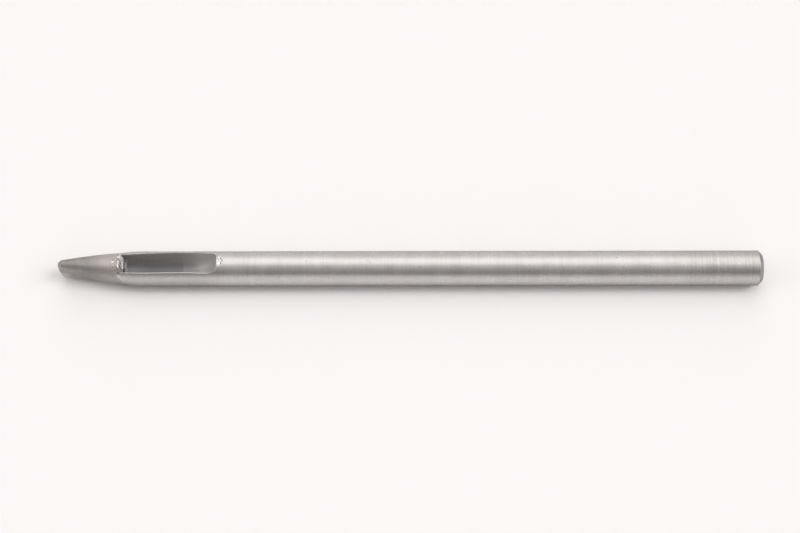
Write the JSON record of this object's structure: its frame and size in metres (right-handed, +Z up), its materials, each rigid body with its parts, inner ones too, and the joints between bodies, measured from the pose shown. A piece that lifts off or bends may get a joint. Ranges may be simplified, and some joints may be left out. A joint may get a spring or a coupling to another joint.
{
  "type": "slot punch",
  "caption": "Round steel hand punch with a hollow flattened nose that cuts an oblong slot, a long side window that lets the waste out, and a chamfered end to strike.",
  "frame": {"origin": "on the surface that the punch lies on, below the middle of its length", "axes": "+X along the shank from the cutting edge to the striking face, +Z up out of the window"},
  "size_m": [0.16, 0.008, 0.008],
  "materials": {
    "shank_steel": "satin ground bar with fine turning marks round it",
    "nose_steel": "dull grey, hardened and ground, with a faint brown heat tint near the joint",
    "weld_steel": "bright and rough, as welded and dressed"
  },
  "bodies": {
    "root": {"shank": "shank_steel", "cutting_nose": "nose_steel", "weld_bead": "weld_steel"}
  },
  "joints": []
}
